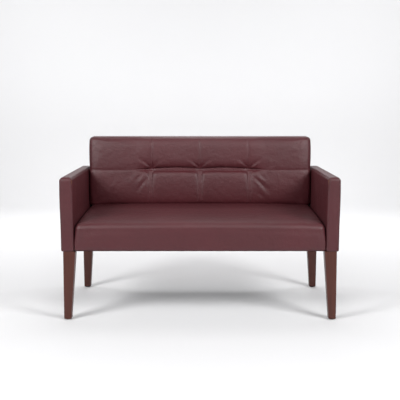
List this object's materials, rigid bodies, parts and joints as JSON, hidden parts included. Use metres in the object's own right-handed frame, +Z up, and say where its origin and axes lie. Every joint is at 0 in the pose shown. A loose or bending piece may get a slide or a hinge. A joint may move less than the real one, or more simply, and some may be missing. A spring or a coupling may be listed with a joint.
{
  "type": "two-seat sofa",
  "caption": "Two-seat sofa with thin straight arms, a tight seat, a tufted back and tapered wooden legs, upholstered in leather.",
  "frame": {"origin": "on the floor, below the middle of the sofa's overall width and depth", "axes": "+X towards the arm on the right of someone who looks at the sofa's front, +Y from the front to the back, +Z up"},
  "size_m": [1.3, 0.625, 0.839],
  "materials": {
    "leather": "fine-grained burgundy upholstery leather, semi-matt",
    "leg_wood": "beech stained dark walnut, satin lacquer",
    "frame_wood": "plain hardwood, unfinished",
    "hardboard": "hardboard, unfinished",
    "foam": "cut upholstery foam",
    "wadding": "polyester wadding",
    "webbing": "woven elastic webbing",
    "dust_cloth": "black non-woven dust cloth",
    "twine": "waxed tufting twine",
    "zinc_steel": "zinc-plated steel",
    "glide_nylon": "black nylon"
  },
  "bodies": {
    "root": {"front_leg_left": "leg_wood", "front_leg_right": "leg_wood", "rear_leg_left": "leg_wood", "rear_leg_right": "leg_wood", "glides": "glide_nylon", "side_rail_left": "frame_wood", "side_rail_right": "frame_wood", "arm_rail_left": "frame_wood", "arm_rail_right": "frame_wood", "arm_boards_left": "hardboard", "arm_boards_right": "hardboard", "arm_dowels_left": "frame_wood", "arm_dowels_right": "frame_wood", "arm_padding_left": "wadding", "arm_padding_right": "wadding", "arm_cover_left": "leather", "arm_cover_right": "leather", "seat_front_rail": "frame_wood", "seat_rear_rail": "frame_wood", "seat_end_rail_left": "frame_wood", "seat_end_rail_right": "frame_wood", "seat_centre_rail": "frame_wood", "corner_blocks": "frame_wood", "block_screws": "zinc_steel", "seat_dowels": "frame_wood", "seat_webbing": "webbing", "seat_foam": "foam", "seat_front_pad": "foam", "seat_cover": "leather", "dust_covers": "dust_cloth", "back_stile_left": "frame_wood", "back_stile_right": "frame_wood", "back_top_rail": "frame_wood", "back_tuft_rail": "frame_wood", "back_lower_rail": "frame_wood", "back_bottom_rail": "frame_wood", "back_dowels": "frame_wood", "back_webbing": "webbing", "back_foam": "foam", "back_top_pad": "foam", "back_cover": "leather", "tuft_twines": "twine", "outside_back_board": "hardboard", "outside_back_cover": "leather", "unit_bolts": "zinc_steel", "bolt_washers": "zinc_steel", "threaded_inserts": "zinc_steel", "back_screws": "zinc_steel"}
  },
  "joints": []
}
